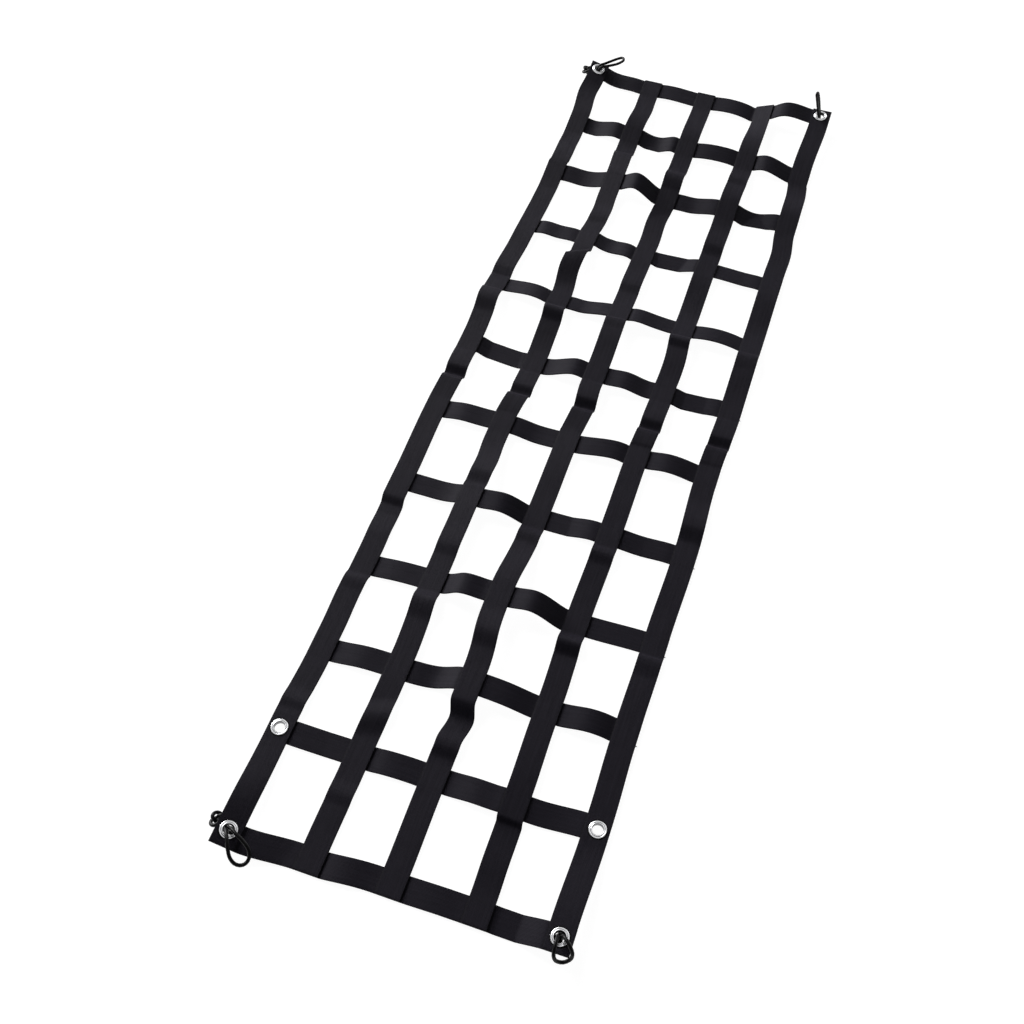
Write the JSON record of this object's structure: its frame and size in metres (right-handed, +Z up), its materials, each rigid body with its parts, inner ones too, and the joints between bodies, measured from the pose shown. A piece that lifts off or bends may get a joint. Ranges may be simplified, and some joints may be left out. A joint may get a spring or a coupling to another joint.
{
  "type": "tailgate net",
  "caption": "Flat black webbing net for a pickup tailgate: a sewn grid of long and cross straps lying loosely creased, with plated eyelets and knotted elastic loops at its corners.",
  "frame": {"origin": "middle of the net's outline, on the surface that it lies on", "axes": "+X across the net to the right, +Y along it away from the end with the extra eyelets, +Z up"},
  "size_m": [0.4567, 1.5472, 0.0658],
  "materials": {
    "webbing": "woven black webbing, matt with a faint sheen",
    "plated": "bright nickel plate",
    "elastic": "braided black elastic cord"
  },
  "bodies": {
    "root": {"long_strap_1": "webbing", "long_strap_2": "webbing", "long_strap_3": "webbing", "long_strap_4": "webbing", "long_strap_5": "webbing", "cross_strap_01": "webbing", "cross_strap_02": "webbing", "cross_strap_03": "webbing", "cross_strap_04": "webbing", "cross_strap_05": "webbing", "cross_strap_06": "webbing", "cross_strap_07": "webbing", "cross_strap_08": "webbing", "cross_strap_09": "webbing", "cross_strap_10": "webbing", "cross_strap_11": "webbing", "cross_strap_12": "webbing", "eyelet_near_left": "plated", "eyelet_near_right": "plated", "eyelet_far_left": "plated", "eyelet_far_right": "plated", "eyelet_side_left": "plated", "eyelet_side_right": "plated", "loop_near_left": "elastic", "loop_near_right": "elastic", "loop_far_left": "elastic", "loop_far_right": "elastic", "knot_near_left": "elastic", "knot_near_right": "elastic", "knot_far_left": "elastic", "knot_far_right": "elastic"}
  },
  "joints": []
}
